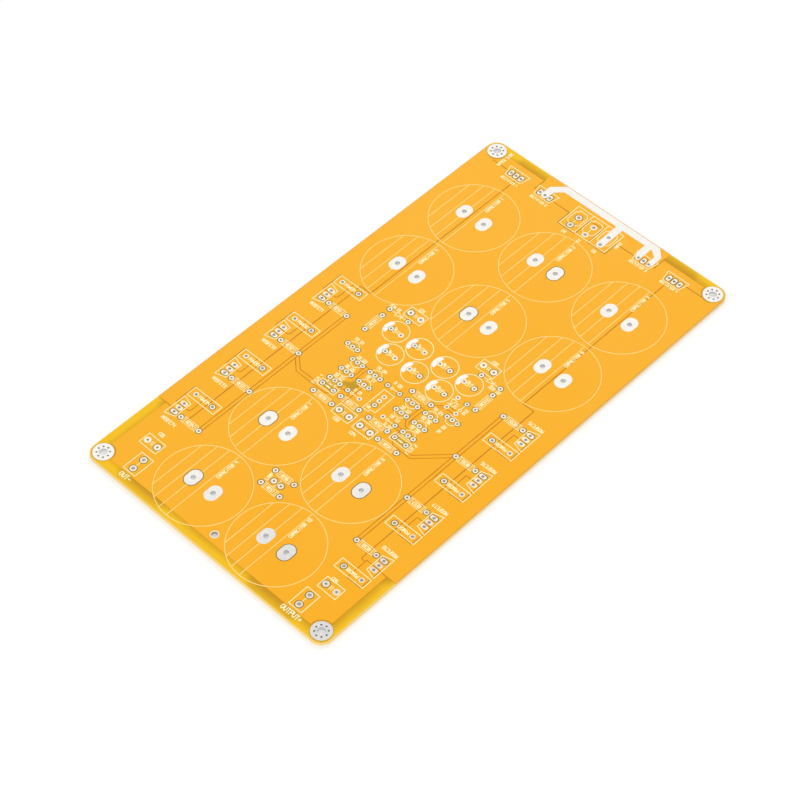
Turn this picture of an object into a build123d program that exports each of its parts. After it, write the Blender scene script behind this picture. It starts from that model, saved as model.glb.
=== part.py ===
from build123d import *
import os

# A bare power supply circuit board: a drilled and etched panel with tinned lands and printed outlines.
# The frame is +X across the board, +Y along it towards the input end, +Z up, with the origin at the
# middle of the underside. All lengths are millimetres.

# Panel
BOARD_WIDTH = 120.0
BOARD_LENGTH = 220.0
BOARD_THICKNESS = 1.6
FOIL_STEP = 0.07
GAP_WIDTH = 0.45
MARGIN_DEPTH = 4.3
OVERRUN = 1.0

# Corner mounting holes, concentric with the rounded corners of the panel
MOUNT_INSET = 4.8
MOUNT_DRILL = 3.2
MOUNT_LAND = 8.3
MOUNT_RELIEF = 0.5
CORNER_RADIUS = MOUNT_INSET

# Tinned lands and printed ink, both laid on the upper face
LAND_THICKNESS = 0.05
INK_THICKNESS = 0.03
INK_WIDTH = 0.3
INK_CLEARANCE = 0.2

# Sides of the rounds that repeat: lead drillings, corners of the strip, ends of lands and whole rings
DRILL_SIDES = 6
STRIP_SIDES = 8
LAND_SIDES = 12
RING_SIDES = 24

# Drill sizes
RESERVOIR_DRILL = 2.0
TERMINAL_DRILL = 1.5
POWER_DRILL = 1.2
FILM_DRILL = 1.0
SIGNAL_DRILL = 0.9
PLAIN_DRILL = 2.6

# Lead pitches
RESERVOIR_PITCH = 10.16
TERMINAL_PITCH = 7.62
TERMINAL_PAIR_PITCH = 5.08
DEVICE_PITCH = 2.54
FILM_PITCH = 5.08
SMALL_FILM_PITCH = 5.5
ELECTROLYTIC_PITCH = 5.0
RESISTOR_PITCH = 9.4
DIODE_PITCH = 6.0
LAMP_PITCH = 3.45

# Reservoir capacitors
RESERVOIR_DIAMETER = 36.2
RESERVOIR_LAND_WIDTH = 5.4
RESERVOIR_LAND_LENGTH = 7.4

# Power transistors stand in two columns, each with a gate resistor and a source resistor
GATE_RESISTOR_OFFSET = 3.65
SOURCE_RESISTOR_RISE = 8.5
SOURCE_RESISTOR_PITCH = 8.6

# Bare tinned strip that joins the rectifiers to one input terminal
STRIP_WIDTH = 3.1
STRIP_EDGE_GAP = 0.25
STRIP_LEFT_CHAMFER = 4.0
STRIP_RIGHT_CHAMFER = 3.1

# Places as shares of the board's width and length, measured from its middle
RESERVOIR_UPPER_COLUMN_SHARES = (-0.309, 0, 0.309)
RESERVOIR_UPPER_ROW_SHARES = (0.326, 0.154)
RESERVOIR_LOWER_COLUMN_SHARES = (-0.154, 0.154)
RESERVOIR_LOWER_ROW_SHARES = (-0.243, -0.412)
RECTIFIER_COLUMN_SHARES = (-0.337, -0.210, 0.210, 0.337)
RECTIFIER_ROW_SHARE = 0.455
INPUT_TERMINAL_ROW_SHARE = 0.4435
OUTPUT_TERMINAL_SHARES = (0.350, -0.4555)
PLAIN_HOLE_SHARES = (0, -0.4665)
DEVICE_COLUMN_SHARE = 0.421
DEVICE_ROW_SHARES = (0.0172, -0.0983, -0.2137, -0.3292)
FILM_SHARES = [(0.1545, 0.087), (0.044, -0.149), (0.377, -0.411)]
SMALL_FILM_SHARES = [(0.153, -0.127)]
ELECTROLYTIC_SHARES = [(0.155, 0.0385), (0.0535, 0.0385), (0.104, -0.005)]
CENTRE_ELECTROLYTIC_SHARES = (0, -0.005)
ZENER_SHARES = [(0.1945, 0.0685)]
ACROSS_RESISTOR_SHARES = [(0.0595, -0.127), (0.1365, -0.149)]
ALONG_RESISTOR_SHARES = [(0.2335, 0.028)]
SINGLE_RESISTOR_SHARES = [(0.0845, -0.0365), (0, -0.310), (0, -0.343)]
SMALL_TRANSISTOR_SHARES = [
    (0.2105, -0.036),
    (0.1545, -0.0555),
    (0.1545, -0.0825),
    (0.1545, -0.1095),
    (0.079, -0.0555),
    (0.079, -0.0825),
]
PAIRED_DIODE_SHARES = [(0.075, -0.1095)]
CENTRE_DIODE_SHARES = (0, -0.0555)
ALONG_DIODE_SHARES = [(0.1635, -0.008), (0.201, -0.008)]
TRIMMER_SHARES = (0, -0.090)
LAMP_SHARES = (0, -0.327)

# Etched lines between the pours on the right half, repeated on the left half, as the same shares
RAIL_GAP_SHARES = [(0.324, 0.444), (0.324, 0.071), (0.3665, 0.071), (0.3665, -0.3365)]
CORNER_GAP_SHARES = [(0.440, 0.458), (0.377, 0.458)]
MARGIN_GAP_SHARES = [(0.2545, 0.485), (0.2545, 0.454)]
INPUT_GAP_SHARES = [(0.171, 0.453), (0.1005, 0.453), (0.1005, 0.421), (0.0275, 0.421), (0.0275, 0.463)]
SIDE_GAP_SHARES = [(0.490, -0.3365), (0.4405, -0.3365)]
TOP_MARGIN_START_SHARE = 0.2545
SIDE_MARGIN_TOP_SHARE = -0.3365

ACROSS = Vector(1, 0)
ALONG = Vector(0, 1)
SIDES = (-1, 1)


def spot(x_share, y_share):
    """The point of the board at a share of its width and length."""
    return Vector(x_share * BOARD_WIDTH, y_share * BOARD_LENGTH)


def mirrored(place_shares):
    """The points of a table of shares, with their mirror images on the left half."""
    return [spot(side * x, y) for x, y in place_shares for side in SIDES]


def lead_row(centre, pitch, direction, count=2):
    """The places of a row of leads at an even pitch about a centre."""
    first = centre - direction * (pitch * (count - 1) / 2)
    return [first + direction * (pitch * i) for i in range(count)]


def lead_rows(centres, pitch, direction, count=2):
    """The places of the leads of several like footprints."""
    return [lead for centre in centres for lead in lead_row(centre, pitch, direction, count)]


def reservoir_centres():
    upper = [spot(x, y) for y in RESERVOIR_UPPER_ROW_SHARES for x in RESERVOIR_UPPER_COLUMN_SHARES]
    lower = [spot(x, y) for y in RESERVOIR_LOWER_ROW_SHARES for x in RESERVOIR_LOWER_COLUMN_SHARES]
    return upper + lower


def reservoir_leads():
    return lead_rows(reservoir_centres(), RESERVOIR_PITCH, ACROSS)


def rectifier_leads(column_share):
    return lead_row(spot(column_share, RECTIFIER_ROW_SHARE), DEVICE_PITCH, ACROSS, 3)


def input_terminal_leads():
    """Three terminals side by side, each with a pair of leads, as one list for each terminal."""
    columns = lead_row(spot(0, INPUT_TERMINAL_ROW_SHARE), TERMINAL_PITCH, ACROSS, 3)
    return [lead_row(centre, TERMINAL_PAIR_PITCH, ALONG) for centre in columns]


def output_terminal_leads():
    return lead_rows(mirrored([OUTPUT_TERMINAL_SHARES]), TERMINAL_PAIR_PITCH, ALONG)


def device_centres(side):
    """The middle leads of one column of power transistors."""
    return [spot(side * DEVICE_COLUMN_SHARE, row) for row in DEVICE_ROW_SHARES]


def inward(side):
    """The direction from a column of power transistors to the middle of the board."""
    return ACROSS * -side


def gate_resistor_leads(side):
    """One resistor beside the outer lead of each transistor; the right column is the left one turned over."""
    leads = []
    for centre in device_centres(side):
        outer = centre + ALONG * (side * DEVICE_PITCH) + inward(side) * GATE_RESISTOR_OFFSET
        leads += [outer, outer + inward(side) * RESISTOR_PITCH]
    return leads


def source_resistor_leads(side):
    leads = []
    for centre in device_centres(side):
        outer = centre - ALONG * (side * SOURCE_RESISTOR_RISE)
        leads += [outer, outer + inward(side) * SOURCE_RESISTOR_PITCH]
    return leads


def power_leads():
    leads = [lead for share in RECTIFIER_COLUMN_SHARES for lead in rectifier_leads(share)]
    for side in SIDES:
        leads += lead_rows(device_centres(side), DEVICE_PITCH, ALONG, 3)
        leads += source_resistor_leads(side)
    return leads


def signal_leads():
    electrolytics = mirrored(ELECTROLYTIC_SHARES) + [spot(*CENTRE_ELECTROLYTIC_SHARES)]
    across_resistors = mirrored(ACROSS_RESISTOR_SHARES + ZENER_SHARES)
    across_resistors += [spot(*share) for share in SINGLE_RESISTOR_SHARES]
    across_diodes = mirrored(PAIRED_DIODE_SHARES) + [spot(*CENTRE_DIODE_SHARES)]
    along_diodes = [spot(*share) for share in ALONG_DIODE_SHARES]
    leads = lead_rows(mirrored(SMALL_FILM_SHARES), SMALL_FILM_PITCH, ACROSS)
    leads += lead_rows(electrolytics, ELECTROLYTIC_PITCH, ACROSS)
    leads += lead_rows(across_resistors, RESISTOR_PITCH, ACROSS)
    leads += lead_rows(mirrored(ALONG_RESISTOR_SHARES), RESISTOR_PITCH, ALONG)
    leads += lead_rows(mirrored(SMALL_TRANSISTOR_SHARES), DEVICE_PITCH, ACROSS, 3)
    leads += lead_rows(across_diodes, DIODE_PITCH, ACROSS)
    leads += lead_rows(along_diodes, DIODE_PITCH, ALONG)
    leads += lead_row(spot(*TRIMMER_SHARES), DEVICE_PITCH, ALONG, 3)
    leads += lead_row(spot(*LAMP_SHARES), LAMP_PITCH, ACROSS)
    return leads + gate_resistor_leads(-1) + gate_resistor_leads(1)


def mount_places():
    reach = Vector(BOARD_WIDTH / 2 - MOUNT_INSET, BOARD_LENGTH / 2 - MOUNT_INSET)
    return [Vector(x * reach.X, y * reach.Y) for x in SIDES for y in SIDES]


def at_each(places, shape):
    """One sketch of a shape repeated at each place."""
    return Sketch() + [Pos(place) * shape for place in places]


def lead_drill(diameter):
    return RegularPolygon(diameter / 2, DRILL_SIDES, major_radius=False)


def turned(start, end):
    """The turn that lays a field that runs across the board along the line between two points."""
    return Rot(0, 0, ACROSS.get_signed_angle(end - start))


def bar(start, end, width):
    """A straight field of even width between two points, with square ends past both."""
    return Pos((start + end) / 2) * turned(start, end) * Rectangle((end - start).length + width, width)


def track(start, end, width, sides):
    """A straight conductor of even width between two points, with round ends about both."""
    turn = turned(start, end)
    middle = Pos((start + end) / 2) * turn * Rectangle((end - start).length, width)
    return middle + [Pos(point) * turn * RegularPolygon(width / 2, sides) for point in (start, end)]


def reservoir_land(grow=0):
    """One land of a reservoir capacitor, longer along the board than across it."""
    half_run = ALONG * ((RESERVOIR_LAND_LENGTH - RESERVOIR_LAND_WIDTH) / 2)
    return track(-half_run, half_run, RESERVOIR_LAND_WIDTH + 2 * grow, LAND_SIDES)


def strip_points():
    """Main run of the bus strip: up from a left rectifier, along the edge, and down to a right one."""
    start = rectifier_leads(RECTIFIER_COLUMN_SHARES[1])[1]
    end = rectifier_leads(RECTIFIER_COLUMN_SHARES[2])[2]
    run_y = BOARD_LENGTH / 2 - STRIP_EDGE_GAP - STRIP_WIDTH / 2
    return [
        start,
        Vector(start.X, run_y - STRIP_LEFT_CHAMFER),
        Vector(start.X + STRIP_LEFT_CHAMFER, run_y),
        Vector(end.X - STRIP_RIGHT_CHAMFER, run_y),
        Vector(end.X, run_y - STRIP_RIGHT_CHAMFER),
        end,
    ]


def strip_field(grow=0):
    """The bus strip with its branches to one more rectifier lead and to both leads of an input terminal."""
    main = strip_points()
    run_y = main[2].Y
    near_lead = rectifier_leads(RECTIFIER_COLUMN_SHARES[2])[0]
    terminal = input_terminal_leads()[2][0]
    runs = list(zip(main, main[1:]))
    runs += [(lead, Vector(lead.X, run_y)) for lead in (near_lead, terminal)]
    return Sketch() + [track(start, end, STRIP_WIDTH + 2 * grow, STRIP_SIDES) for start, end in runs]


def drillings():
    """Every hole in the panel, seen from above, as separate fields."""
    terminals = [lead for pair in input_terminal_leads() for lead in pair] + output_terminal_leads()
    films = lead_rows(mirrored(FILM_SHARES), FILM_PITCH, ACROSS)
    drills = [
        (mount_places(), Circle(MOUNT_DRILL / 2)),
        ([spot(*PLAIN_HOLE_SHARES)], Circle(PLAIN_DRILL / 2)),
        (reservoir_leads(), lead_drill(RESERVOIR_DRILL)),
        (terminals, lead_drill(TERMINAL_DRILL)),
        (power_leads(), lead_drill(POWER_DRILL)),
        (films, lead_drill(FILM_DRILL)),
        (signal_leads(), lead_drill(SIGNAL_DRILL)),
    ]
    return [Pos(place) * drill for places, drill in drills for place in places]


def margin_field():
    """Bare margins: both ends of the top edge, the bottom edge, the lower sides and round the corner lands."""
    half_width = BOARD_WIDTH / 2
    half_length = BOARD_LENGTH / 2
    side_top = spot(0, SIDE_MARGIN_TOP_SHARE).Y
    side_height = side_top + half_length
    strips = [Pos(0, -half_length) * Rectangle(BOARD_WIDTH, 2 * MARGIN_DEPTH)]
    for side in SIDES:
        inner = spot(side * TOP_MARGIN_START_SHARE, 0).X
        top_strip = Rectangle(2 * (half_width - abs(inner)), 2 * MARGIN_DEPTH)
        strips.append(Pos(side * half_width, half_length) * top_strip)
        side_strip = Rectangle(2 * MARGIN_DEPTH, side_height)
        strips.append(Pos(side * half_width, side_top - side_height / 2) * side_strip)
    relief = RegularPolygon(MOUNT_LAND / 2 + MOUNT_RELIEF, LAND_SIDES)
    return Sketch() + strips + at_each(mount_places(), relief)


def pour_gap_field():
    """Dividing lines between the copper pours of the power rails."""
    lines = []
    for table in (RAIL_GAP_SHARES, CORNER_GAP_SHARES, MARGIN_GAP_SHARES, INPUT_GAP_SHARES, SIDE_GAP_SHARES):
        for side in SIDES:
            points = [spot(side * x, y) for x, y in table]
            lines += [bar(start, end, GAP_WIDTH) for start, end in zip(points, points[1:])]
    return Sketch() + lines


def board_panel():
    """Laminate with its masked copper: the etched fields lie one foil thickness below the pours."""
    outline = RectangleRounded(BOARD_WIDTH, BOARD_LENGTH, CORNER_RADIUS)
    panel = extrude(outline - drillings(), BOARD_THICKNESS)
    etched = extrude(margin_field() + pour_gap_field(), FOIL_STEP + OVERRUN)
    return panel - Pos(0, 0, BOARD_THICKNESS - FOIL_STEP) * etched


def laid_on_top(field, thickness):
    """A thin layer on the upper face of the pours."""
    return Pos(0, 0, BOARD_THICKNESS) * extrude(field, thickness)


def mounting_lands():
    """Corner lands of tinned foil, which stand on the bare laminate in the etched corners."""
    land = RegularPolygon(MOUNT_LAND / 2, RING_SIDES) - Circle(MOUNT_DRILL / 2)
    lands = extrude(at_each(mount_places(), land), FOIL_STEP + LAND_THICKNESS)
    return Pos(0, 0, BOARD_THICKNESS - FOIL_STEP) * lands


def reservoir_lands():
    land = reservoir_land() - lead_drill(RESERVOIR_DRILL)
    return laid_on_top(at_each(reservoir_leads(), land), LAND_THICKNESS)


def input_bus_strip():
    return laid_on_top(strip_field() - drillings(), LAND_THICKNESS)


def reservoir_outlines():
    """The printed ring of each reservoir capacitor, kept clear of the lands and the strip."""
    radius = RESERVOIR_DIAMETER / 2
    ring = RegularPolygon(radius, RING_SIDES) - RegularPolygon(radius - INK_WIDTH, RING_SIDES)
    clear = at_each(reservoir_leads(), reservoir_land(INK_CLEARANCE)) + strip_field(INK_CLEARANCE)
    return laid_on_top(at_each(reservoir_centres(), ring) - clear, INK_THICKNESS)


def write_parts():
    os.makedirs("parts", exist_ok=True)
    makers = (board_panel, mounting_lands, reservoir_lands, input_bus_strip, reservoir_outlines)
    for maker in makers:
        export_step(maker(), f"parts/{maker.__name__}.step")


write_parts()
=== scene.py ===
import math
from collections import namedtuple
from itertools import cycle

import bmesh
import bpy
from mathutils import Color, Matrix, Vector
from mathutils.geometry import delaunay_2d_cdt


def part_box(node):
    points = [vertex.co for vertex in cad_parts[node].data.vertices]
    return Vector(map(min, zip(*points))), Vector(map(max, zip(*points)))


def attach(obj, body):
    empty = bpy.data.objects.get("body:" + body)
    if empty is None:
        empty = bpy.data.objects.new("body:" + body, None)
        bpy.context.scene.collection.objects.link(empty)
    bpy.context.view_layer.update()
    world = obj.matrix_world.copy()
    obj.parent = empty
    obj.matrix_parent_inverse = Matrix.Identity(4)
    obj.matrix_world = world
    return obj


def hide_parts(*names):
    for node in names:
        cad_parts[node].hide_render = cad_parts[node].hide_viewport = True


# Looks of a bare power supply circuit board. The frame is +X across the board, +Y along it towards the
# input end and +Z up, with the origin at the middle of the underside. Lengths here are millimetres, and
# they turn into metres where a mesh, a lamp or the camera is made.

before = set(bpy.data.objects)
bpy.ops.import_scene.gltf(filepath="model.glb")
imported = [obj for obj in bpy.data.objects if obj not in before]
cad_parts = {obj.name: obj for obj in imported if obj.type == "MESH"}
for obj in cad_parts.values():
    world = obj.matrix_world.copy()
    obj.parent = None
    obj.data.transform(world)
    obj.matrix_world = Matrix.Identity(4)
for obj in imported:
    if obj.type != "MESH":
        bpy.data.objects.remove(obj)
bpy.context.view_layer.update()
MM = 0.001

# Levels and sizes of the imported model
PANEL_LOW, PANEL_HIGH = (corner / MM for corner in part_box("board_panel"))
BOARD_WIDTH = PANEL_HIGH.x - PANEL_LOW.x
BOARD_LENGTH = PANEL_HIGH.y - PANEL_LOW.y
POUR_LEVEL = PANEL_HIGH.z
ETCH_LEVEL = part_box("mounting_lands")[0].z / MM
LAND_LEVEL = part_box("reservoir_lands")[1].z / MM
INK_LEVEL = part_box("reservoir_outlines")[1].z / MM
UNDER_ETCH_LEVEL = POUR_LEVEL - ETCH_LEVEL
UNDER_MASK_LEVEL = 0.03

# Panel
CORNER_RADIUS = 4.8
POUR_EDGE_GAP = 0.16
GAP_WIDTH = 0.42
SMALL_GAP_WIDTH = 0.34
GATE_BUS_HALF = 0.74
MARGIN_DEPTH = 4.3
RIM_WIDTH = 0.33
UNDERLAP = 0.1

# Corner mounting holes with a ring of plated vias
MOUNT_INSET = 4.8
MOUNT_DRILL = 3.2
MOUNT_LAND = 7.9
MOUNT_RIM = 0.3
MOUNT_RELIEF = 0.7
VIA_DRILL = 0.8
VIA_RING = 4.9
VIA_COUNT = 8

# Plated lands: barrel wall, and the rounded edges of the tin
BARREL_WALL = 0.06
TIN_EDGE = 0.05
TIN_SHOULDER = 0.22
TIN_FALL = 0.012
HOLE_BREAK = 0.08

# Drill sizes
RESERVOIR_DRILL = 2.0
TERMINAL_DRILL = 1.5
POWER_DRILL = 1.2
FILM_DRILL = 1.0
SIGNAL_DRILL = 0.9
PLAIN_DRILL = 2.6

# Land sizes: one width, or the width and length of a long land
RESERVOIR_LAND = (5.4, 7.4)
DEVICE_LAND = (1.85, 3.1)
TERMINAL_LAND = 2.7
FILM_LAND = 2.75
SOURCE_LAND = 2.15
RESISTOR_LAND = 2.1
ELECTROLYTIC_LAND = 2.15
SMALL_LAND = 2.0
LAMP_LAND = 2.4
PLAIN_LAND = 3.4
DIODE_LAND = 1.9

# Which lands stand apart, lead by lead: x for apart, o for joined to the pour or the strip
RESERVOIR_PATTERN = "oooxooooxooo" + 2 * "xoox"
RECTIFIER_PATTERN = "xxxx" + "oxoxo" + "xxx"
DEVICE_PATTERN = "xoo"
SOURCE_PATTERN = "ox"
INPUT_PATTERN = "xxoooo"
FILM_PATTERN = "xoox" + "xxxx" + "oxxo"
ELECTROLYTIC_PATTERN = 3 * "xoox" + "ox"
PAIRED_DIODE_PATTERN = "xoox"
ALONG_DIODE_PATTERN = "ooox"
TRIMMER_PATTERN = "xoo"

# Lead counts and pitches
DEVICE_LEADS = 3
INPUT_COUNT = 3
RESERVOIR_PITCH = 10.16
TERMINAL_PITCH = 7.62
TERMINAL_PAIR_PITCH = 5.08
DEVICE_PITCH = 2.54
FILM_PITCH = 5.08
SMALL_FILM_PITCH = 5.5
ELECTROLYTIC_PITCH = 5.0
RESISTOR_PITCH = 9.4
DIODE_PITCH = 6.0
LAMP_PITCH = 3.45
GATE_RESISTOR_OFFSET = 3.65
SOURCE_RESISTOR_RISE = 8.5
SOURCE_RESISTOR_PITCH = 8.6

# Bare tinned strip that joins the rectifiers to one input terminal. Its legs are offsets from their leads.
# Print looks out for it in a zone at the input end
STRIP_WIDTH = 3.1
STRIP_EDGE_GAP = 0.35
STRIP_LEFT_CHAMFER = 4.0
STRIP_RIGHT_CHAMFER = 3.1
STRIP_NEAR_LEG = [
    (-2.25, 7.2), (-2.25, 1.5), (-1.05, -0.6), (-0.3, -1.35), (0.45, -1.35), (0.85, -0.6), (0.85, 7.2)
]
STRIP_FAR_LEG = [
    (-2.2, 9.5), (1.55, 5.75), (1.5, 0.3), (0.6, -1.35), (-0.5, -1.35), (-0.85, 0.5), (-0.75, 4.2),
    (-3.85, 6.6)
]
STRIP_ZONE_DEPTH = 17.2

# Printed legend. Its layers lie a hair apart, so that lines that cross don't share a face
INK_WIDTH = 0.3
FINE_INK_WIDTH = 0.2
INK_STEP = 0.002
INK_CLEARANCE = 0.2
RING_LAYER, HATCH_LAYER, OUTLINE_LAYER, LETTER_LAYER = range(4)

# Sides of round shapes
BIG_SIDES = 96
ROUND_SIDES = 32
SMALL_SIDES = 20
RING_SIDES = 10
CAP_SIDES = 5
VIA_SIDES = 12

# Printed outlines: widths and heights, or offsets from the middle of a part. A way of -1 turns a transistor
# half round
RESERVOIR_DIAMETER = 36.2
RESERVOIR_HATCH_SHARES = (0, -0.25, -0.5, -0.75)
RECTIFIER_OUTLINE = [(-5.1, 2.75), (5.1, 2.75), (3.9, -2.2), (-3.9, -2.2)]
DEVICE_OUTLINE = [(-2.45, 5.2), (1.93, 3.97), (1.93, -3.8), (-2.45, -5.2)]
SOURCE_BOX = (13.75, 4.5)
SOURCE_BOX_SHIFT = 0.03
RESISTOR_BODY = (6.9, 2.6)
RESISTOR_BAND = 2.6
SHORT_BODY = (6.4, 2.45)
SHORT_BAND = 2.45
INPUT_BLOCK_SHARES = (-0.0008, 0.4497)
INPUT_BLOCK = (23.0, 11.85)
INPUT_DIVIDER = 3.75
CLAMP_OUTLINE = [
    (-1.3, -2.2), (-2.9, -0.7), (-2.9, 4.6), (-2.05, 4.6), (-1.95, 5.8), (1.55, 5.8), (2.8, 4.5), (2.8, -0.7),
    (1.3, -2.2)
]
OUTPUT_BLOCK = (6.1, 9.1)
FILM_BOX = (8.5, 5.2)
FILM_PLATE_OFFSET = 0.4
FILM_PLATE_HALF = 0.85
SMALL_FILM_BOX = (8.4, 3.25)
SMALL_FILM_DASH = 2.6
SMALL_FILM_MARK = (1.5, 0.7)
SMALL_FILM_WINDOW = (3.2, 1.9)
ELECTROLYTIC_RADIUS = 5.2
NEGATIVE_CHORD = 3.05
NEGATIVE_HALF = 2.85
TRANSISTOR_RADIUS = 2.5
TRANSISTOR_WINDOW = 1.7
TRANSISTOR_ARC = 62
TRANSISTOR_FLAT = [(-2.2, -1.35), (2.2, -1.35)]
TRANSISTOR_WAYS = (1, -1, -1, 1, -1, 1, -1, 1, 1, -1, 1, -1)
TRIMMER_OUTLINE = [(-2.45, 5.2), (2.65, 5.2), (2.65, -5.1), (0.4, -5.1), (0.4, -6.4), (-2.45, -6.4)]
LAMP_ZIGZAG = [(-0.2, 1.75), (0.5, 1.75), (-0.1, 0.2), (0.5, -0.2), (-0.2, -1.75), (0.5, -1.75)]
DIODE_TRIANGLE_HALF = 1.05
DIODE_TIP = 1.4
ZENER_REACH = 3.4
DIODE_REACH = 1.9
RING_OFFSET = 0.9
RING_LINE = 1.9
RING_RADIUS = 0.55

# Lettering: strokes, heights, offsets from the middle of a part, and plain words
LETTER_STROKE = 0.11
LETTER_STROKE_SHARE = 0.135
OUTPUT_LETTERS = 1.95
BIG_LETTERS = 1.5
DEVICE_LETTERS = 1.4
LETTERS = 1.3
SMALL_LETTERS = 1.2
RECTIFIER_LETTERS = 1.1
RESERVOIR_LABEL = (1.2, 10.6)
RECTIFIER_LABELS = [(0, -4.1), (0, -4.0), (0, -3.4), (0, -3.4)]
DEVICE_LABELS = [(1.8, -7.0), (-1.0, 6.8)]
INPUT_LABEL = (0.2, -6.9)
OUTPUT_LABEL = (0.6, -6.9)
FILM_LABELS = [(0, 3.6), (0, 3.6), (-0.3, -3.9), (-1.9, -4.6), (-0.6, 5.0), (-1.5, 3.1)]
SMALL_FILM_LABELS = [(-5.4, 0), (5.4, 0)]
TRIMMER_LABEL = (-1.1, -4.7)
ELECTROLYTIC_WORDS = ("CAP", "1{}")
ELECTROLYTIC_LABELS = [(-0.8, 0.3), (1.0, 0.3)]
TRANSISTOR_LABELS = [
    (0, 3.7), (0.1, -5.9), (0.2, 2.2), (0.2, 3.7), (-0.2, 2.2), (-0.2, 3.6),
    (-0.2, 2.4), (-0.3, 3.6), (-0.1, 3.6), (0.1, -3.8), (-0.1, 3.5), (0.1, -3.7)
]
TURNED_TRANSISTOR = 2
ZENER_LABELS = [(-3.5, 1.9), (3.5, -1.9)]
DIODE_LABELS = [(0.4, 2.0), (1.3, -1.9), (-0.3, 2.7)]
ALONG_DIODE_LABEL = (2.1, -0.3)
LAMP_LABEL = (-4.35, 0.2)
TOP_LABEL_SHARES = (-0.4135, 0.472)
INPUT_SIDE_LABEL_SHARES = (0.1085, 0.4515)
INPUT_TEXTS = ("IN", "0", "IN")
OUTPUT_TEXTS = ("OUT-", "OUTPUT+")

# Lines of the letters on a lattice two wide and four high. Each pair of digits is a column and a row
LETTER_ROWS = 4
LETTER_ADVANCE = 2.8
LETTER_GAP = 1
LETTER_CAP_SIDES = 3
LETTER_LINES = {
    "A": "00 03 14 23 20, 02 22",
    "C": "24 14 03 01 10 20",
    "D": "00 04 14 23 21 10 00",
    "E": "24 04 00 20, 02 12",
    "F": "24 04 00, 02 12",
    "I": "10 14",
    "L": "04 00 20",
    "M": "00 04 12 24 20",
    "N": "00 04 20 24",
    "O": "01 03 14 23 21 10 01",
    "P": "00 04 24 22 02",
    "R": "00 04 24 22 02 20",
    "S": "24 04 02 22 20 00",
    "T": "10 14, 04 24",
    "U": "04 01 10 21 24",
    "V": "04 10 24",
    "W": "04 00 12 20 24",
    "Z": "04 24 00 20",
    "0": "00 04 24 20 00",
    "1": "03 14 10",
    "2": "04 24 22 02 00 20",
    "3": "04 24 20 00, 02 22",
    "4": "04 02 22, 24 20",
    "5": "24 04 02 22 20 00",
    "6": "24 04 00 20 22 02",
    "7": "04 24 10",
    "8": "00 04 24 20 00, 02 22",
    "9": "20 24 04 02 22",
    "+": "11 13, 02 22",
    "-": "02 22",
}

# Looks: colours as screen values, sizes of what varies, and for each grain its size, depth and roughness
SCREEN_WHITE = 255
# Mask over copper in two colours of painted reflection, paler towards the left corner of the input end
MASK_MORE_REFLECTION_COLOUR = (253, 183, 46)
MASK_LESS_REFLECTION_COLOUR = (252, 178, 26)
# Bare margins: painted glow near the edge, painted shade by the pour, and a pale rim at the very edge
MARGIN_PAINTED_GLOW = (248, 194, 14)
MARGIN_PAINTED_SHADE = (206, 151, 10)
MARGIN_RIM = (246, 216, 120)
RIM_COLOURS = ((122, 106, 50), (146, 120, 50))
LINE_COLOURS = ((190, 122, 12), (208, 136, 12))
PATCH_COLOURS = ((194, 152, 28), (210, 166, 34))
EDGE_COLOURS = ((236, 200, 124), (248, 220, 158))
# Tin colours of painted reflection: bright, and dim towards the right corner of the output end
BRIGHT_REFLECTION_TIN_COLOURS = ((252, 249, 243), (246, 243, 237))
DIM_REFLECTION_TIN_COLOURS = ((229, 227, 223), (220, 218, 214))
BRIGHT_REFLECTION_SMALL_TIN_COLOURS = ((255, 247, 226), (250, 241, 220))
DIM_REFLECTION_SMALL_TIN_COLOURS = ((242, 231, 211), (233, 223, 204))
# Painted shade down in the bores
BORE_SHADE_COLOUR = (224, 224, 224)
SMALL_BORE_SHADE_COLOUR = (220, 219, 219)
PLAIN_BORE_SHADE_COLOUR = (168, 163, 150)
THIN_INK_COLOURS = ((254, 220, 128), (255, 230, 152))
INK_COLOURS = ((255, 248, 186), (255, 252, 204))
SOLID_INK_COLOURS = ((255, 250, 240), (255, 254, 250))
NOISE_LOW = 0.35
NOISE_HIGH = 0.65
COAT_SPECULAR = 0.25
METAL_SPECULAR = 0.5
MASK_GRAIN = (0.6, 0.0012, (0.38, 0.46))
EDGE_GRAIN = (0.12, 0.01, (0.6, 0.8))
TIN_GRAIN = (0.7, 0.003, (0.3, 0.42))
INK_GRAIN = (0.15, 0.004, (0.6, 0.7))
# Painted reflection on the mask over copper: size and reach of its wander, and reach of its fade
MASK_REFLECTION_WANDER_SIZE = 40
MASK_REFLECTION_WANDER = 60
MASK_REFLECTION_REACH = 150
# Painted shade of the margins: its wander, its band from glow to shade, and its lean and deeper runs
MARGIN_SHADE_WANDER_SIZE = 16
MARGIN_SHADE_WANDER = 0.4
MARGIN_SHADE_BAND = (0.9, 4.6)
MARGIN_RIM_DEPTH = 0.4
EDGE_SHARES = (-0.5, 0.5)
MARGIN_SHADE_LEANS = (-1.6, -0.1)
MARGIN_SHADE_LEAN = 1.9
MARGIN_SHADE_START_SHARES = (0.171, 0.196)
MARGIN_SHADE_END_SHARES = (0.388, 0.363)
MARGIN_SHADE_SIDE_SHARES = (0.355, 0.337)
GROUND_TONE_SIZE = 6
EDGE_LAYER_SIZE = 0.9
EDGE_LAYER_WANDER = 2.5
TIN_TONE_SIZE = 1.6
# Band over which the tin's painted reflection dims
TIN_REFLECTION_FADE_BAND = (50, 125)
# Depths over which painted shade darkens the bores
BORE_SHADE_BAND = (0.25, 0.65)
INK_TONE_SIZE = 0.6

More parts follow.
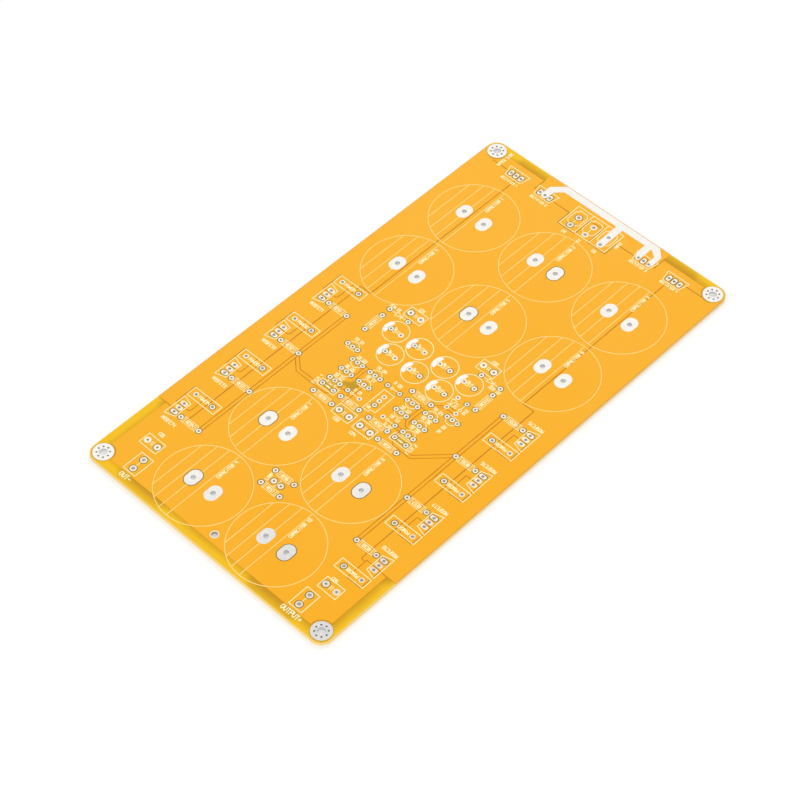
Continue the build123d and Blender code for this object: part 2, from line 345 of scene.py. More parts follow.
# Places as shares of the board's width and length, measured from its middle. The reservoirs stand in two
# grids of columns and rows
RESERVOIR_GRID_SHARES = [((-0.309, 0, 0.309), (0.326, 0.154)), ((-0.154, 0.154), (-0.243, -0.412))]
RECTIFIER_SHARES = [(-0.337, 0.455), (-0.210, 0.455), (0.210, 0.455), (0.337, 0.455)]
INPUT_TERMINAL_SHARES = (0, 0.4435)
OUTPUT_TERMINAL_SHARES = [(0.350, -0.4555)]
LONE_HOLE_SHARES = [(0, -0.4665)]
DEVICE_COLUMN_SHARE = 0.421
DEVICE_ROW_SHARES = (0.0172, -0.0983, -0.2137, -0.3292)
FILM_SHARES = [(0.1545, 0.087), (0.044, -0.149), (0.377, -0.411)]
SMALL_FILM_SHARES = [(0.153, -0.127)]
ELECTROLYTIC_SHARES = [(0.155, 0.0385), (0.0535, 0.0385), (0.104, -0.005)]
CENTRE_ELECTROLYTIC_SHARES = [(0, -0.005)]
ZENER_SHARES = [(0.1945, 0.0685)]
ACROSS_RESISTOR_SHARES = [(0.0595, -0.127), (0.1365, -0.149)]
ALONG_RESISTOR_SHARES = [(0.2335, 0.028)]
SINGLE_RESISTOR_SHARES = [(0.0845, -0.0365), (0, -0.310), (0, -0.343)]
SMALL_TRANSISTOR_SHARES = [
    (0.2105, -0.036), (0.1545, -0.0555), (0.1545, -0.0825),
    (0.1545, -0.1095), (0.079, -0.0555), (0.079, -0.0825)
]
PAIRED_DIODE_SHARES = [(0.075, -0.1095)]
CENTRE_DIODE_SHARES = [(0, -0.0555)]
ALONG_DIODE_SHARES = [(0.1635, -0.008), (0.201, -0.008)]
TRIMMER_SHARES = [(0, -0.090)]
LAMP_SHARES = [(0, -0.327)]

# Etched lines between the pours on the right half, repeated on the left half, as the same shares
GAP_SHARES = [
    [(0.324, 0.444), (0.324, 0.071), (0.3665, 0.071), (0.3665, -0.3365)],
    [(0.2545, 0.485), (0.2545, 0.454)],
    [(0.171, 0.453), (0.1005, 0.453), (0.1005, 0.421), (0.0275, 0.421), (0.0275, 0.463), (0, 0.463)],
    [(0.490, -0.3365), (0.4405, -0.3365)],
]
CORNER_GAP_COLUMN_SHARES = (0.440, 0.377)
CORNER_GAP_ROW_SHARES = (0.456, 0.4597)
TOP_MARGIN_START_SHARE = 0.2545
SIDE_MARGIN_TOP_SHARE = -0.3365

# Finer etched lines round the small parts, an open patch, and the ends of the gate buses, as the same shares
SMALL_GAP_SHARES = [
    [(-0.1245, -0.0593), (-0.1245, -0.088)],
    [(-0.1127, -0.0593), (-0.1127, -0.0834)],
    [(-0.129, -0.052), (-0.106, -0.052)],
    [(-0.0856, -0.0895), (-0.0856, -0.1345)],
    [(-0.0737, -0.0895), (-0.0737, -0.1345)],
    [(-0.127, -0.1205), (-0.1265, -0.1133), (-0.106, -0.114)],
    [(-0.3067, -0.1113), (-0.2626, -0.1326), (-0.2033, -0.1326)],
    [(-0.3067, -0.1205), (-0.267, -0.14), (-0.1423, -0.14), (-0.134, -0.1354)],
    [(0.104, -0.0515), (0.1296, -0.0515)],
    [(0.1084, -0.059), (0.1084, -0.088), (0.1254, -0.0997), (0.138, -0.0997)],
    [(0.121, -0.058), (0.121, -0.088), (0.128, -0.0918)],
    [(0.104, -0.107), (0.127, -0.107)],
    [(0.1067, -0.113), (0.1245, -0.113), (0.126, -0.1205)],
    [(0.172, -0.018), (0.194, -0.018)],
    [(0.171, -0.025), (0.195, -0.025)],
    [(0.1525, -0.0232), (0.1355, -0.0325)],
    [(0.1576, -0.0278), (0.1466, -0.0334)],
    [(0.299, -0.088), (0.2143, -0.135), (0.2067, -0.135)],
    [(0.304, -0.095), (0.2186, -0.142), (0.1457, -0.141), (0.1355, -0.135)],
    [(0.3665, -0.3365), (0.371, -0.3386), (0.3835, -0.3386)],
]
OPEN_PATCH_SHARES = [
    (-0.1118, -0.0858), (-0.0864, -0.0904), (-0.0864, -0.1057),
    (-0.1322, -0.1062), (-0.1355, -0.1015), (-0.1144, -0.0927)
]
GATE_BUS_ROW_SHARES = [(0.0055, -0.340), (0.0286, -0.318)]

# Lines round the source patch of a left and a right power transistor, as offsets inward and along the board
SOURCE_LOOPS = (
    [(-3.0, 1.27), (3.4, 1.27), (4.0, 1.9), (4.0, 10.85), (-3.0, 10.85)],
    [(-2.0, 1.27), (4.5, 1.27), (4.5, 11.1), (-2.0, 11.1)],
)

# Camera, as measured against the photograph: turn round the object, height above it, roll and place
CAMERA_AZIMUTH = 43.4087
CAMERA_ELEVATION = 51.1409
CAMERA_ROLL = 0.3295
CAMERA_TARGET = Vector((4.198, -13.276, 0))
CAMERA_DISTANCE = 854.53
CAMERA_LENS = 105.01
CAMERA_SENSOR = 36

# Studio: a white room, a soft key lamp behind the left of the board and a low fill lamp before its right
FLOOR_SIZE = 6000
FLOOR_DROP = 0.02
FLOOR_LIT = 0.86
FLOOR_OWN = 0.16
FLOOR_FADE = (260, 620)
SKY_LEVEL = 0.82
ROOM_LEVEL = 1
KEY_PLACE = Vector((-500, 700, 900))
FILL_PLACE = Vector((500, -850, 250))
LAMP_SIZE = 500
LAMP_POWER = 2.6
WHITE = (1, 1, 1, 1)

# Directions, turns in degrees, and reaches within which points count as one
ZERO = Vector((0, 0))
ACROSS = Vector((1, 0))
ALONG = Vector((0, 1))
SIDES = (-1, 1)
CORNER_SIGNS = ((1, 1), (-1, 1), (-1, -1), (1, -1))
QUARTER_TURN = 90
HALF_TURN = 180
HALF_STEP = 0.5
SHARP_ANGLE = 40
PLACE_ERROR = 1e-4
WELD_REACH = 2e-4

# Material numbers of the panel, the kind of triangles to make, and the sockets of a node that mixes colours
LINE_ZONE, RIM_ZONE, MARGIN_ZONE, PATCH_ZONE, EDGE_ZONE = range(5)
INSIDE_ONLY = 1
MIX_COLOURS = slice(6, 8)
MIX_RESULT = 2

Lead = namedtuple("Lead", "place drill width half_run isolated")


def spot(x_share, y_share):
    """The point of the board at a share of its width and length."""
    return Vector((x_share * BOARD_WIDTH, y_share * BOARD_LENGTH))


def spots(place_shares):
    return [spot(x, y) for x, y in place_shares]


def mirrored(place_shares):
    """The points of a table of shares, each after its mirror image on the left half."""
    return [spot(side * x, y) for x, y in place_shares for side in SIDES]


def beside(centres, *offsets):
    """Points at given offsets from some centres. The offsets are taken in turn."""
    return [centre + Vector(offset) for centre, offset in zip(centres, cycle(offsets))]


def shifted(centre, offsets, turn=1):
    """Points at given offsets from one centre. A turn of -1 rotates them half round."""
    return [centre + Vector(offset) * turn for offset in offsets]


def rectangle(centre, width, height):
    return [centre + Vector((x * width / 2, y * height / 2)) for x, y in CORNER_SIGNS]


def lead_row(centre, pitch, direction, count=2):
    """Evenly spaced points about a centre."""
    first = centre - direction * (pitch * (count - 1) / 2)
    return [first + direction * (pitch * i) for i in range(count)]


def footprint(centres, pitch, direction, drill, land, pattern="x", count=2):
    """Plated leads in rows about some centres. A long land lies across its row, and the pattern repeats."""
    places = [place for centre in centres for place in lead_row(centre, pitch, direction, count)]
    width, length = land if isinstance(land, tuple) else (land, land)
    half_run = direction.orthogonal() * ((length - width) / 2)
    return [Lead(place, drill, width, half_run, mark == "x") for place, mark in zip(places, cycle(pattern))]


def signal_leads(centres, pitch, direction, land, pattern="x", count=2):
    return footprint(centres, pitch, direction, SIGNAL_DRILL, land, pattern, count)


def inward(side):
    """The direction from a column of power transistors to the middle of the board."""
    return ACROSS * -side


def device_centres(side):
    """The middle leads of one column of power transistors."""
    return [spot(side * DEVICE_COLUMN_SHARE, row) for row in DEVICE_ROW_SHARES]


def gate_resistor_centres(side):
    shift = ALONG * (side * DEVICE_PITCH) + inward(side) * (GATE_RESISTOR_OFFSET + RESISTOR_PITCH / 2)
    return [centre + shift for centre in device_centres(side)]


def source_resistor_centres(side):
    shift = inward(side) * (SOURCE_RESISTOR_PITCH / 2) - ALONG * (side * SOURCE_RESISTOR_RISE)
    return [centre + shift for centre in device_centres(side)]


def device_leads(side):
    """Gate lands stand apart; the others join their pours."""
    row = (DEVICE_PITCH, ALONG * -side)
    return footprint(device_centres(side), *row, POWER_DRILL, DEVICE_LAND, DEVICE_PATTERN, DEVICE_LEADS)


def gate_resistor_leads(side):
    return signal_leads(gate_resistor_centres(side), RESISTOR_PITCH, inward(side), RESISTOR_LAND)


def source_resistor_leads(side):
    row = (SOURCE_RESISTOR_PITCH, inward(side))
    return footprint(source_resistor_centres(side), *row, POWER_DRILL, SOURCE_LAND, SOURCE_PATTERN)


def on_both_sides(leads):
    return [lead for side in SIDES for lead in leads(side)]


# Middles of the parts
MOUNTS = rectangle(ZERO, BOARD_WIDTH - 2 * MOUNT_INSET, BOARD_LENGTH - 2 * MOUNT_INSET)
RESERVOIRS = [spot(x, y) for columns, lines in RESERVOIR_GRID_SHARES for y in lines for x in columns]
RECTIFIERS = spots(RECTIFIER_SHARES)
INPUTS = lead_row(spot(*INPUT_TERMINAL_SHARES), TERMINAL_PITCH, ACROSS, INPUT_COUNT)
OUTPUTS = mirrored(OUTPUT_TERMINAL_SHARES)
FILMS = mirrored(FILM_SHARES)
SMALL_FILMS = mirrored(SMALL_FILM_SHARES)
ELECTROLYTICS = mirrored(ELECTROLYTIC_SHARES) + spots(CENTRE_ELECTROLYTIC_SHARES)
ZENERS = mirrored(ZENER_SHARES)
SHORT_RESISTORS = mirrored(ACROSS_RESISTOR_SHARES) + spots(SINGLE_RESISTOR_SHARES)
ALONG_RESISTORS = mirrored(ALONG_RESISTOR_SHARES)
SMALL_TRANSISTORS = mirrored(SMALL_TRANSISTOR_SHARES)
PAIRED_DIODES = mirrored(PAIRED_DIODE_SHARES)
CENTRE_DIODES = spots(CENTRE_DIODE_SHARES)
ALONG_DIODES = spots(ALONG_DIODE_SHARES)
TRIMMERS = spots(TRIMMER_SHARES)
LAMPS = spots(LAMP_SHARES)

# Plated leads. Those of the strip have the strip itself as their upper land, and the others have their own
POWER_ROW = (DEVICE_PITCH, ACROSS, POWER_DRILL, DEVICE_LAND)
TERMINAL_ROW = (TERMINAL_PAIR_PITCH, ALONG, TERMINAL_DRILL, TERMINAL_LAND)
RESERVOIR_ROW = (RESERVOIR_PITCH, ACROSS, RESERVOIR_DRILL, RESERVOIR_LAND)
RECTIFIER_LEADS = footprint(RECTIFIERS, *POWER_ROW, RECTIFIER_PATTERN, DEVICE_LEADS)
INPUT_LEADS = footprint(INPUTS, *TERMINAL_ROW, INPUT_PATTERN)
STRIP_LEADS = [lead for lead in RECTIFIER_LEADS if not lead.isolated] + INPUT_LEADS[-2:]
LEAD_GROUPS = {
    "reservoir_lands": footprint(RESERVOIRS, *RESERVOIR_ROW, RESERVOIR_PATTERN),
    "rectifier_lands": [lead for lead in RECTIFIER_LEADS if lead.isolated],
    "power_transistor_lands": on_both_sides(device_leads),
    "source_resistor_lands": on_both_sides(source_resistor_leads),
    "gate_resistor_lands": on_both_sides(gate_resistor_leads),
    "terminal_lands": INPUT_LEADS[:-2] + footprint(OUTPUTS, *TERMINAL_ROW),
    "film_capacitor_lands": footprint(FILMS, FILM_PITCH, ACROSS, FILM_DRILL, FILM_LAND, FILM_PATTERN),
    "electrolytic_lands": signal_leads(
        ELECTROLYTICS, ELECTROLYTIC_PITCH, ACROSS, ELECTROLYTIC_LAND, ELECTROLYTIC_PATTERN
    ),
    "resistor_lands": (
        signal_leads(SHORT_RESISTORS + ZENERS, RESISTOR_PITCH, ACROSS, RESISTOR_LAND)
        + signal_leads(ALONG_RESISTORS, RESISTOR_PITCH, ALONG, RESISTOR_LAND)
    ),
    "small_transistor_lands": signal_leads(
        SMALL_TRANSISTORS, DEVICE_PITCH, ACROSS, SMALL_LAND, count=DEVICE_LEADS
    ),
    "diode_lands": (
        signal_leads(PAIRED_DIODES, DIODE_PITCH, ACROSS, DIODE_LAND, PAIRED_DIODE_PATTERN)
        + signal_leads(CENTRE_DIODES, DIODE_PITCH, ACROSS, DIODE_LAND)
        + signal_leads(ALONG_DIODES, DIODE_PITCH, ALONG, DIODE_LAND, ALONG_DIODE_PATTERN)
    ),
    "small_part_lands": (
        signal_leads(SMALL_FILMS, SMALL_FILM_PITCH, ACROSS, SMALL_LAND)
        + signal_leads(LAMPS, LAMP_PITCH, ACROSS, LAMP_LAND)
        + signal_leads(TRIMMERS, DEVICE_PITCH, ALONG, SMALL_LAND, TRIMMER_PATTERN, DEVICE_LEADS)
    ),
    "lone_hole_lands": footprint(spots(LONE_HOLE_SHARES), 0, ACROSS, PLAIN_DRILL, PLAIN_LAND, "o", 1),
}
LANDED = [lead for leads in LEAD_GROUPS.values() for lead in leads]
ALL_LEADS = LANDED + STRIP_LEADS


def heading(turn):
    return Vector((math.cos(turn), math.sin(turn)))


def headings(count, start=0):
    """Directions at even steps round a circle, from a start in steps."""
    return [heading(math.tau * (i + start) / count) for i in range(count)]


def circle(centre, diameter, sides=ROUND_SIDES):
    return [centre + way * (diameter / 2) for way in headings(sides)]


def arc(centre, radius, first_degrees, last_degrees, steps=ROUND_SIDES):
    span = last_degrees - first_degrees
    turns = [math.radians(first_degrees + span * i / steps) for i in range(steps + 1)]
    return [centre + heading(turn) * radius for turn in turns]


def capsule(start, end, width, sides=CAP_SIDES):
    """A straight field of even width with round ends about two points."""
    run = end - start
    first = math.degrees(math.atan2(run.y, run.x)) - QUARTER_TURN
    caps = ((end, first), (start, first + HALF_TURN))
    return [point for place, turn in caps for point in arc(place, width / 2, turn, turn + HALF_TURN, sides)]


def ribbon(points, width=INK_WIDTH, sides=CAP_SIDES):
    """The straight fields along a line of points."""
    return [capsule(start, end, width, sides) for start, end in zip(points, points[1:])]


def closed(points):
    return points + points[:1]


def outline(inset=0):
    """The rounded rectangle of the panel, drawn in by an inset."""
    centres = rectangle(ZERO, BOARD_WIDTH - 2 * CORNER_RADIUS, BOARD_LENGTH - 2 * CORNER_RADIUS)
    points = []
    for index, centre in enumerate(centres):
        turn = index * QUARTER_TURN
        points += arc(centre, CORNER_RADIUS - inset, turn, turn + QUARTER_TURN, SMALL_SIDES)
    return points


def mount_holes(mount):
    """The hole of a corner land and its ring of vias, as places, drills and sides."""
    vias = [mount + way * (VIA_RING / 2) for way in headings(VIA_COUNT)]
    return [(mount, MOUNT_DRILL, ROUND_SIDES)] + [(via, VIA_DRILL, VIA_SIDES) for via in vias]


def barrel(place, drill, sides=SMALL_SIDES):
    """The outside of the plating in a hole."""
    return circle(place, drill + 2 * BARREL_WALL, sides)


def land_field(lead, grow=0, sides=ROUND_SIDES):
    width = lead.width + 2 * grow
    if lead.half_run == ZERO:
        return circle(lead.place, width, sides)
    return capsule(lead.place - lead.half_run, lead.place + lead.half_run, width, sides // 2)


def strip_fields(grow=0):
    """The bus strip with its legs to three rectifier leads and its branch to an input terminal."""
    start, near, far, terminal, _ = (lead.place for lead in STRIP_LEADS)
    run_y = BOARD_LENGTH / 2 - STRIP_EDGE_GAP - STRIP_WIDTH / 2
    main = [
        start,
        Vector((start.x, run_y - STRIP_LEFT_CHAMFER)),
        Vector((start.x + STRIP_LEFT_CHAMFER, run_y)),
        Vector((far.x - STRIP_RIGHT_CHAMFER, run_y)),
    ]
    branch = [terminal, Vector((terminal.x, run_y))]
    legs = [shifted(near, STRIP_NEAR_LEG), shifted(far, STRIP_FAR_LEG)]
    rims = [rim for leg in legs if grow for rim in ribbon(closed(leg), 2 * grow)]
    width = STRIP_WIDTH + 2 * grow
    return ribbon(main, width, SMALL_SIDES) + ribbon(branch, width, SMALL_SIDES) + legs + rims


def counter_clockwise(field):
    area = sum(a.x * b.y - b.x * a.y for a, b in zip(field, closed(field)[1:]))
    return field if area > 0 else field[::-1]


def carve(adds, cuts, marks=()):
    """Triangles of the added fields less the cut fields, with the first mark that covers each.

    Marks are pairs of a field and a material number; a triangle outside them all has number 0.
    """
    fields = [counter_clockwise(field) for field in [*adds, *cuts, *(field for field, _ in marks)]]
    points = [point for field in fields for point in field]
    loops = []
    for field in fields:
        first = loops[-1][-1] + 1 if loops else 0
        loops.append(list(range(first, first + len(field))))
    cut_end = len(adds) + len(cuts)
    corners, _, triangles, _, _, covers = delaunay_2d_cdt(points, [], loops, INSIDE_ONLY, PLACE_ERROR, True)
    kept = []
    zones = []
    for triangle, cover in zip(triangles, covers):
        added = any(i < len(adds) for i in cover)
        removed = any(len(adds) <= i < cut_end for i in cover)
        if added and not removed:
            kept.append(triangle)
            mark = min((i for i in cover if i >= cut_end), default=None)
            zones.append(0 if mark is None else marks[mark - cut_end][1])
    used = sorted({i for triangle in kept for i in triangle})
    number = {old: new for new, old in enumerate(used)}
    return [corners[i] for i in used], [[number[i] for i in triangle] for triangle in kept], zones


class Shape:
    """Points and faces of one piece, in millimetres, with a material number for each face."""

    def __init__(self):
        self.points = []
        self.faces = []
        self.zones = []

    def add(self, points, faces, zones):
        first = len(self.points)
        self.points += points
        self.faces += [[first + i for i in face] for face in faces]
        self.zones += zones
        return self

    def slab(self, adds, cuts, low, high, marks=(), side_zone=0):
        """A flat layer between two levels."""
        corners, triangles, zones = carve(adds, cuts, marks)
        count = len(corners)
        points = [(c.x, c.y, level) for level in (high, low) for c in corners]
        edges = {(t[i], t[(i + 1) % 3]) for t in triangles for i in range(3)}
        rim = sorted(edge for edge in edges if edge[::-1] not in edges)
        under = [[count + i for i in triangle[::-1]] for triangle in triangles]
        walls = [[count + a, count + b, b, a] for a, b in rim]
        return self.add(points, triangles + under + walls, zones + zones + [side_zone] * len(walls))

    def sheet(self, adds, cuts, level, way):
        """A flat face at one level, looking up for a way of 1 and down for -1."""
        corners, triangles, zones = carve(adds, cuts)
        return self.add([(c.x, c.y, level) for c in corners], [t[::way] for t in triangles], zones)

    def wall(self, field, low, high):
        """An upright wall round a field, looking out where its points run counter-clockwise."""
        return self.rings([[(point.x, point.y, level) for point in field] for level in (low, high)])

    def rings(self, rings, is_closed=False):
        """Rings of equal count, each joined to the next, and where they are closed the last to the first."""
        count = len(rings[0])
        points = [point for ring in rings for point in ring]
        faces = []
        for row in range(len(rings) if is_closed else len(rings) - 1):
            upper = (row + 1) % len(rings)
            for i in range(count):
                j = (i + 1) % count
                faces.append([row * count + i, row * count + j, upper * count + j, upper * count + i])
        return self.add(points, faces, [0] * len(faces))


def eyelet(shape, lead, has_upper_land=True):
    """A plated hole: lower land, barrel and upper land, with the soft edges of molten tin."""
    ways = headings(ROUND_SIDES if lead.width > TERMINAL_LAND else SMALL_SIDES, HALF_STEP)

    def land(grow, level):
        """A ring round the land. Each end of a long land takes half of its points."""
        ends = [lead.half_run if way.dot(lead.half_run) >= 0 else -lead.half_run for way in ways]
        points = [lead.place + end + way * (lead.width / 2 + grow) for end, way in zip(ends, ways)]
        return [(point.x, point.y, level) for point in points]

    def hole(grow, level):
        points = [lead.place + way * (lead.drill / 2 + grow) for way in ways]
        return [(point.x, point.y, level) for point in points]

    lower = [
        land(-TIN_EDGE, 0),
        land(0, TIN_EDGE / 2),
        land(0, UNDER_ETCH_LEVEL),
        hole(BARREL_WALL, UNDER_ETCH_LEVEL),
    ]
    upper = [
        hole(BARREL_WALL, ETCH_LEVEL),
        land(0, ETCH_LEVEL),
        land(0, LAND_LEVEL - TIN_EDGE),
        land(-TIN_EDGE, LAND_LEVEL - TIN_FALL),
        land(-TIN_SHOULDER, LAND_LEVEL),
        hole(HOLE_BREAK, LAND_LEVEL - TIN_FALL),
    ]
    bare_top = [hole(BARREL_WALL, LAND_LEVEL - TIN_FALL)]
    bore = [hole(0, LAND_LEVEL - TIN_EDGE), hole(0, TIN_EDGE / 2), hole(HOLE_BREAK, 0)]
    return shape.rings(lower + (upper if has_upper_land else bare_top) + bore, is_closed=True)


def margin_fields():
    """Bare margins: both ends of the top edge, the bottom edge, the lower sides and the corner lands."""
    half_width = BOARD_WIDTH / 2
    half_length = BOARD_LENGTH / 2
    side_top = SIDE_MARGIN_TOP_SHARE * BOARD_LENGTH
    fields = [rectangle(Vector((0, -half_length)), BOARD_WIDTH, 2 * MARGIN_DEPTH)]
    for side in SIDES:
        top_width = 2 * (half_width - TOP_MARGIN_START_SHARE * BOARD_WIDTH)
        fields.append(rectangle(Vector((side * half_width, half_length)), top_width, 2 * MARGIN_DEPTH))
        middle = Vector((side * half_width, (side_top - half_length) / 2))
        fields.append(rectangle(middle, 2 * MARGIN_DEPTH, side_top + half_length))
    return fields + [circle(place, MOUNT_LAND + 2 * MOUNT_RELIEF) for place in MOUNTS]


def gap_fields():
    """Etched lines between the pours, among the small parts, by the gate buses and round source patches."""
    fields = []
    for side, row in zip(SIDES, CORNER_GAP_ROW_SHARES):
        for table in GAP_SHARES + [[(x, row) for x in CORNER_GAP_COLUMN_SHARES]]:
            fields += ribbon([spot(side * x, y) for x, y in table], GAP_WIDTH)
    for table in SMALL_GAP_SHARES:
        fields += ribbon(spots(table), SMALL_GAP_WIDTH)
    for side, ends, loop in zip(SIDES, GATE_BUS_ROW_SHARES, SOURCE_LOOPS):
        bus = gate_resistor_centres(side)[0] + inward(side) * (RESISTOR_PITCH / 2)
        for edge in SIDES:
            line = [Vector((bus.x + edge * GATE_BUS_HALF, y * BOARD_LENGTH)) for y in ends]
            fields += ribbon(line, SMALL_GAP_WIDTH)
        for centre in device_centres(side):
            corners = [centre + inward(side) * x - ALONG * (side * y) for x, y in loop]
            fields += ribbon(closed(corners), SMALL_GAP_WIDTH)
    return fields


def patch_fields():
    """Open ground without copper among the small parts."""
    windows = [rectangle(centre, *SMALL_FILM_WINDOW) for centre in SMALL_FILMS]
    for centre in SMALL_TRANSISTORS:
        windows.append(rectangle(centre, 2 * DEVICE_PITCH, TRANSISTOR_WINDOW))
    return windows + [spots(OPEN_PATCH_SHARES)]


def pour_cuts(has_rims):
    """The land openings in a pour: wide round the lands that stand apart, hidden under the others."""
    return [land_field(lead, RIM_WIDTH if has_rims and lead.isolated else -UNDERLAP) for lead in ALL_LEADS]


def laminate_shape():
    """The panel less its pours, with a material number for each kind of ground that shows on it."""
    holes = [barrel(lead.place, lead.drill) for lead in ALL_LEADS]
    holes += [barrel(*hole) for mount in MOUNTS for hole in mount_holes(mount)]
    marks = [(circle(place, MOUNT_LAND + 2 * MOUNT_RIM), PATCH_ZONE) for place in MOUNTS]
    marks += [(field, MARGIN_ZONE) for field in margin_fields()]
    marks += [(field, PATCH_ZONE) for field in patch_fields()]
    marks += [(land_field(lead, RIM_WIDTH), RIM_ZONE) for lead in LANDED]
    marks += [(field, LINE_ZONE) for field in gap_fields()]
    return Shape().slab([outline()], holes, UNDER_ETCH_LEVEL, ETCH_LEVEL, marks, EDGE_ZONE)


def upper_pour_shape():
    cuts = pour_cuts(has_rims=True) + margin_fields() + gap_fields() + patch_fields()
    return Shape().slab([outline(POUR_EDGE_GAP)], cuts, ETCH_LEVEL, POUR_LEVEL)


def lower_pour_shape():
    cuts = pour_cuts(has_rims=False) + margin_fields()
    return Shape().slab([outline(POUR_EDGE_GAP)], cuts, UNDER_MASK_LEVEL, UNDER_ETCH_LEVEL)


def eyelet_shape(leads):
    shape = Shape()
    for lead in leads:
        eyelet(shape, lead)
    return shape


def mounting_land_shape():
    """Corner lands on both faces, joined by the plating of their holes."""
    shape = Shape()
    for mount in MOUNTS:
        land = circle(mount, MOUNT_LAND, 2 * ROUND_SIDES)
        holes = mount_holes(mount)
        bores = [circle(*hole) for hole in holes]
        barrels = [barrel(*hole) for hole in holes]
        for level, inner_level, way in ((LAND_LEVEL, ETCH_LEVEL, 1), (0, UNDER_ETCH_LEVEL, -1)):
            shape.sheet([land], bores, level, way)
            shape.sheet([land], barrels, inner_level, -way)
            shape.wall(land, *sorted((level, inner_level)))
        for outside, bore in zip(barrels, bores):
            shape.wall(outside, UNDER_ETCH_LEVEL, ETCH_LEVEL)
            shape.wall(bore[::-1], 0, LAND_LEVEL)
    return shape


def strip_shape():
    holes = [barrel(lead.place, lead.drill) for lead in STRIP_LEADS]
    shape = Shape().slab(strip_fields(), holes, POUR_LEVEL, LAND_LEVEL)
    for lead in STRIP_LEADS:
        eyelet(shape, lead, has_upper_land=False)
    return shape


def near_lands(fields):
    """The openings that printed ink keeps clear of, near some fields."""
    xs = [point.x for field in fields for point in field]
    ys = [point.y for field in fields for point in field]
    reach = RESERVOIR_LAND[1]
    cuts = []
    for lead in LANDED:
        inside_x = min(xs) - reach < lead.place.x < max(xs) + reach
        inside_y = min(ys) - reach < lead.place.y < max(ys) + reach
        if inside_x and inside_y:
            cuts.append(land_field(lead, INK_CLEARANCE, SMALL_SIDES))
    if max(ys) > BOARD_LENGTH / 2 - STRIP_ZONE_DEPTH:
        cuts += strip_fields(INK_CLEARANCE)
    return cuts


def print_shape(groups, layer, cuts=()):
    """Ink in groups of fields, clear of the lands. Each group may have a cut of its own."""
    shape = Shape()
    for index, fields in enumerate(groups):
        openings = near_lands(fields) + list(cuts[index:index + 1])
        shape.slab(fields, openings, ETCH_LEVEL, INK_LEVEL - layer * INK_STEP)
    return shape


def reservoir_ring_shape():
    outer = [[circle(centre, RESERVOIR_DIAMETER, BIG_SIDES)] for centre in RESERVOIRS]
    inner = [circle(centre, RESERVOIR_DIAMETER - 2 * INK_WIDTH, BIG_SIDES) for centre in RESERVOIRS]
    return print_shape(outer, RING_LAYER, inner)


def hatch_fields():
    """Four lines along one half of each reservoir capacitor, which mark its negative side."""
    radius = RESERVOIR_DIAMETER / 2 - INK_WIDTH
    groups = []
    for centre in RESERVOIRS:
        for share in RESERVOIR_HATCH_SHARES:
            reach = radius * math.sqrt(1 - share * share)
            groups.append(ribbon(lead_row(centre + ACROSS * (share * radius), 2 * reach, ALONG)))
    return groups


def outlined(centre, offsets, turn=1):
    return ribbon(closed(shifted(centre, offsets, turn)))


def box_lines(centre, size, width=INK_WIDTH):
    return ribbon(closed(rectangle(centre, *size)), width)


def cross_lines(centre, direction, offset, half_length, width=INK_WIDTH):
    """Two short lines across a direction, at an offset along it on both sides of a centre."""
    way = direction.orthogonal() * half_length
    middles = [centre + direction * (side * offset) for side in SIDES]
    return [capsule(middle - way, middle + way, width) for middle in middles]


def resistor_marks(centre, direction, size, band):
    """A box between two leads with a band near each end."""
    box = box_lines(centre, size if direction == ACROSS else size[::-1], FINE_INK_WIDTH)
    return box + cross_lines(centre, direction, band, size[1] / 2, FINE_INK_WIDTH)


def power_outline_fields():
    """Outlines of the rectifiers, power transistors and their resistors, one group of fields for each."""
    groups = [outlined(centre, RECTIFIER_OUTLINE) for centre in RECTIFIERS]
    for side in SIDES:
        groups += [outlined(centre, DEVICE_OUTLINE, -side) for centre in device_centres(side)]
        for centre in source_resistor_centres(side):
            groups.append(box_lines(centre + inward(side) * SOURCE_BOX_SHIFT, SOURCE_BOX))
        for centre in gate_resistor_centres(side):
            groups.append(resistor_marks(centre, ACROSS, RESISTOR_BODY, RESISTOR_BAND))
    return groups


def terminal_outline_fields():
    middle = spot(*INPUT_BLOCK_SHARES)
    dividers = cross_lines(middle, ACROSS, INPUT_DIVIDER, INPUT_BLOCK[1] / 2)
    groups = [box_lines(middle, INPUT_BLOCK) + dividers]
    groups += [ribbon(shifted(centre, CLAMP_OUTLINE)) for centre in INPUTS]
    groups += [box_lines(centre, OUTPUT_BLOCK) for centre in OUTPUTS]
    for centre in INPUTS + OUTPUTS:
        groups.append(ribbon(lead_row(centre, TERMINAL_PAIR_PITCH, ALONG)))
    return groups


def negative_half_turn():
    """Half of the turn that the negative mark of an electrolytic capacitor takes up, in degrees."""
    return math.degrees(math.asin(NEGATIVE_HALF / ELECTROLYTIC_RADIUS))


def capacitor_outline_fields():
    groups = []
    for centre in FILMS:
        groups.append(box_lines(centre, FILM_BOX))
        groups.append(cross_lines(centre, ACROSS, FILM_PLATE_OFFSET, FILM_PLATE_HALF))
    for centre in SMALL_FILMS:
        mark_length, mark_width = SMALL_FILM_MARK
        dash = ribbon(lead_row(centre, SMALL_FILM_DASH, ACROSS))
        groups.append(box_lines(centre, SMALL_FILM_BOX))
        groups.append(dash + ribbon(lead_row(centre, mark_length, ACROSS), mark_width))
    reach = HALF_TURN - negative_half_turn()
    groups += [ribbon(arc(centre, ELECTROLYTIC_RADIUS, -reach, reach)) for centre in ELECTROLYTICS]
    return groups


def polarity_fields():
    """The solid mark inside the rim of each electrolytic capacitor, on its negative side."""
    half = negative_half_turn()
    radius = ELECTROLYTIC_RADIUS + INK_WIDTH / 2
    groups = []
    for centre in ELECTROLYTICS:
        edge = arc(centre, radius, HALF_TURN - half, HALF_TURN + half, SMALL_SIDES)
        chord = lead_row(centre - ACROSS * NEGATIVE_CHORD, 2 * NEGATIVE_HALF, ALONG)
        groups.append([edge + chord])
    return groups


